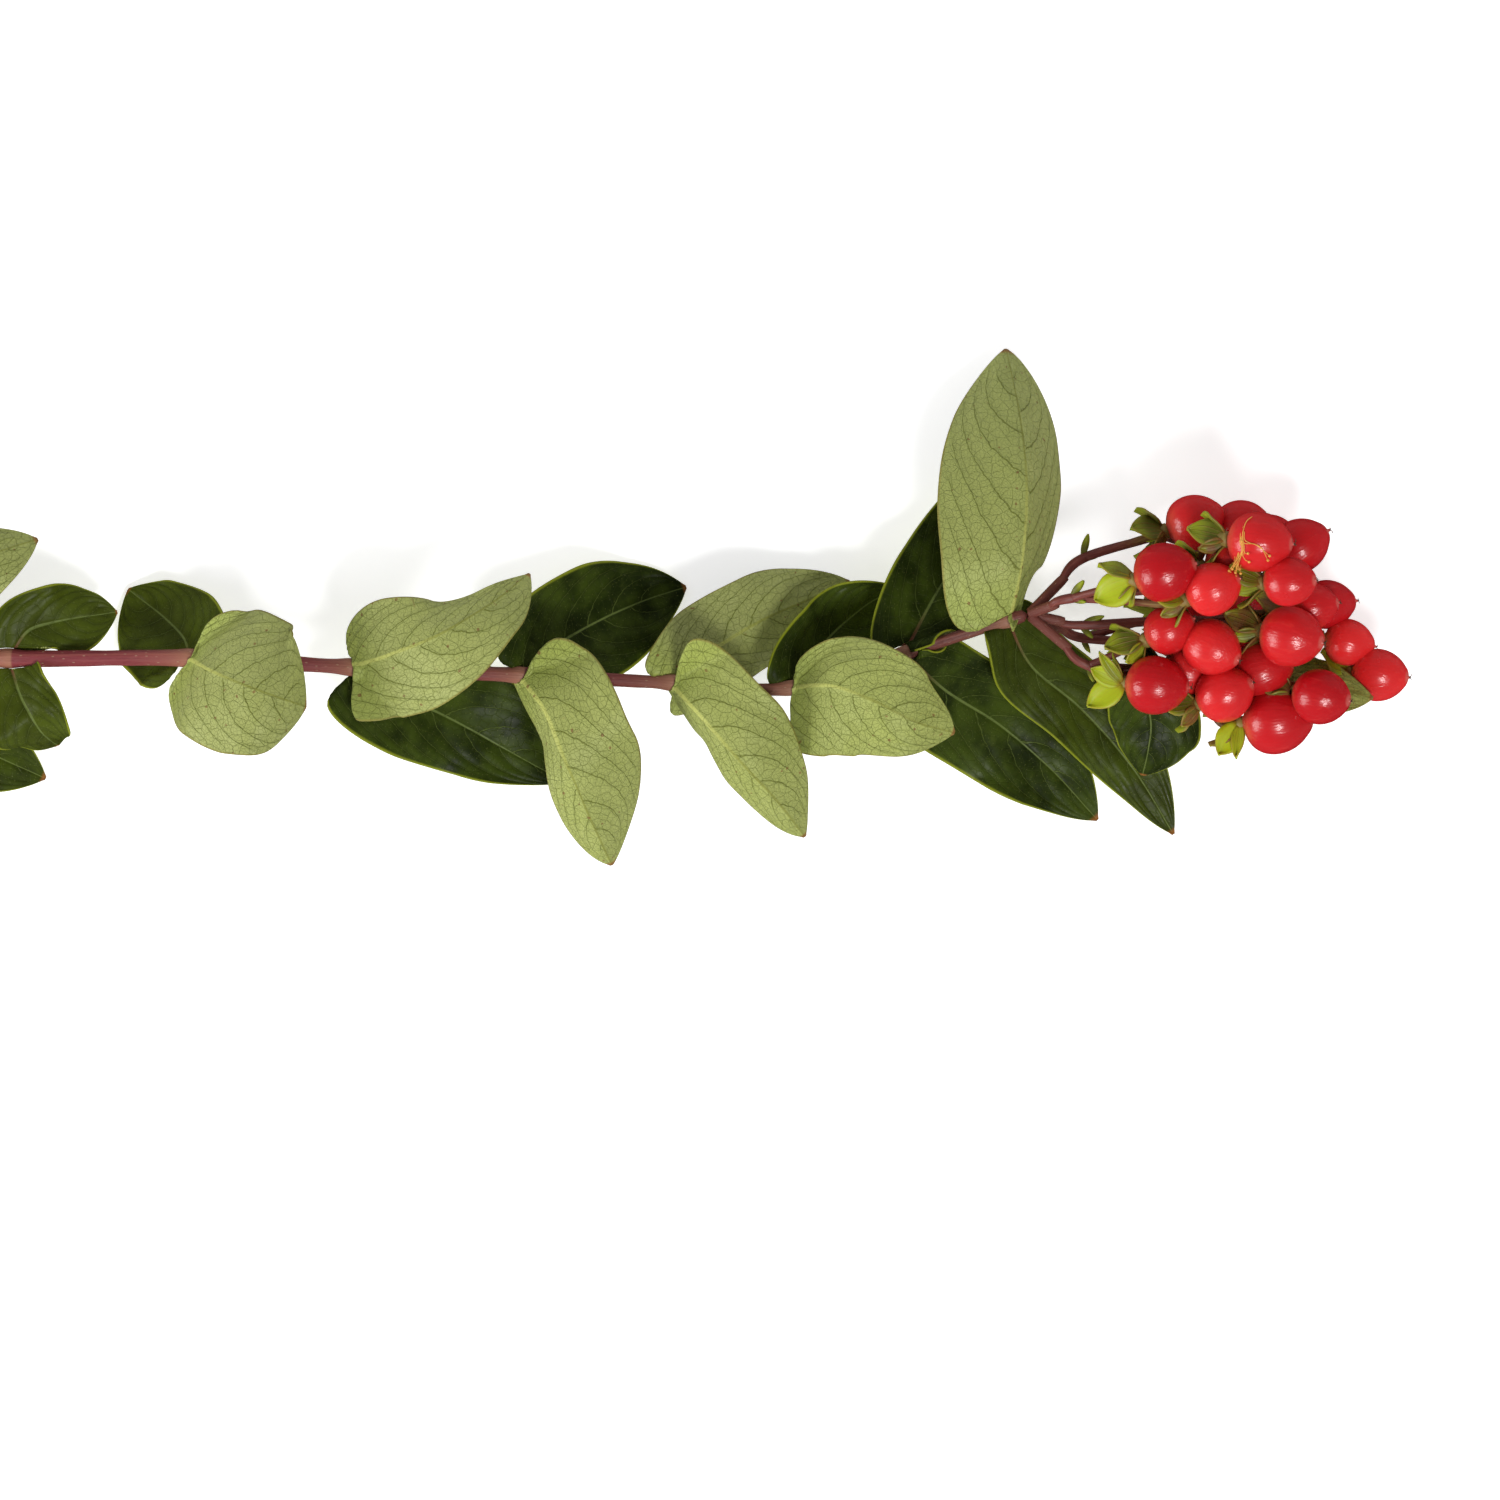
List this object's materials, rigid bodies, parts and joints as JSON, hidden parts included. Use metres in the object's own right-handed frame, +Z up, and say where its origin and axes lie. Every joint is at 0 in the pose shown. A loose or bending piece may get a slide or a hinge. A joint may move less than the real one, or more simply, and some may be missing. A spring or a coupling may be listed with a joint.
{
  "type": "hypericum berry stem",
  "caption": "Cut hypericum stem lying down: woody reddish stem, opposite clasping leaves, and a branched head of glossy red berries in green calyces.",
  "frame": {"origin": "centre of the bottom of the whole stem's box, on the surface it lies on", "axes": "+X along the stem from the cut end towards the berries; +Z up from the surface"},
  "size_m": [0.3964, 0.109, 0.05],
  "materials": {
    "stem_bark": "satin",
    "leaf": "satin",
    "green_stalk": "satin",
    "berry_skin": "gloss"
  },
  "bodies": {
    "root": {"stem": "stem_bark", "leaf_1_left": "leaf", "leaf_1_right": "leaf", "leaf_2_left": "leaf", "leaf_2_right": "leaf", "leaf_3_left": "leaf", "leaf_3_right": "leaf", "leaf_4_left": "leaf", "leaf_4_right": "leaf", "leaf_5_left": "leaf", "leaf_5_right": "leaf", "leaf_6_left": "leaf", "leaf_6_right": "leaf", "leaf_7_left": "leaf", "leaf_7_right": "leaf", "leaf_8_left": "leaf", "leaf_8_right": "leaf", "leaf_9_left": "leaf", "leaf_9_right": "leaf", "leaf_10": "leaf", "leaf_11": "leaf", "spray_upper_front_stalks": "green_stalk", "spray_upper_front_berries": "berry_skin", "spray_upper_back_stalks": "green_stalk", "spray_upper_back_berries": "berry_skin", "spray_middle_stalks": "green_stalk", "spray_middle_berries": "berry_skin", "spray_lower_front_stalks": "green_stalk", "spray_lower_front_berries": "berry_skin", "spray_under_stalks": "green_stalk", "spray_under_berries": "berry_skin"}
  },
  "joints": []
}
